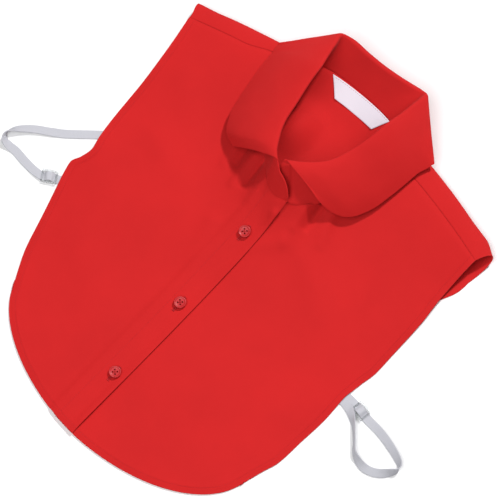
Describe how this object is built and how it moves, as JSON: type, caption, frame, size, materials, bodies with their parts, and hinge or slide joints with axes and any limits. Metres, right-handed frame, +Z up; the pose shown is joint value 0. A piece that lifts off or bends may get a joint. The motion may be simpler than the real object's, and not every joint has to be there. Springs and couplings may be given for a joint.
{
  "type": "detachable bib collar",
  "caption": "Red detachable false collar: buttoned bib front and back, turned down collar with rounded ends, side elastics with slides.",
  "frame": {"origin": "on the underside of the back panel at the middle of the chest, on the button line", "axes": "+X towards the wearer's left, +Y from the hem towards the neck, +Z up from the table as the collar lies on its back"},
  "size_m": [0.4782, 0.4407, 0.0489],
  "materials": {
    "red_cotton": "fine plain weave shirting, matte",
    "white_satin": "white woven satin with a slight sheen",
    "red_button": "polished red resin",
    "white_elastic": "flat woven white elastic",
    "clear_plastic": "clear moulded plastic"
  },
  "bodies": {
    "root": {"back_panel": "red_cotton", "front_right": "red_cotton", "front_left": "red_cotton", "collar_stand": "red_cotton", "collar_leaf": "red_cotton", "neck_label": "white_satin", "button_1": "red_button", "button_2": "red_button", "button_3": "red_button", "elastic_right": "white_elastic", "slide_right": "clear_plastic", "elastic_left": "white_elastic", "slide_left": "clear_plastic"}
  },
  "joints": []
}
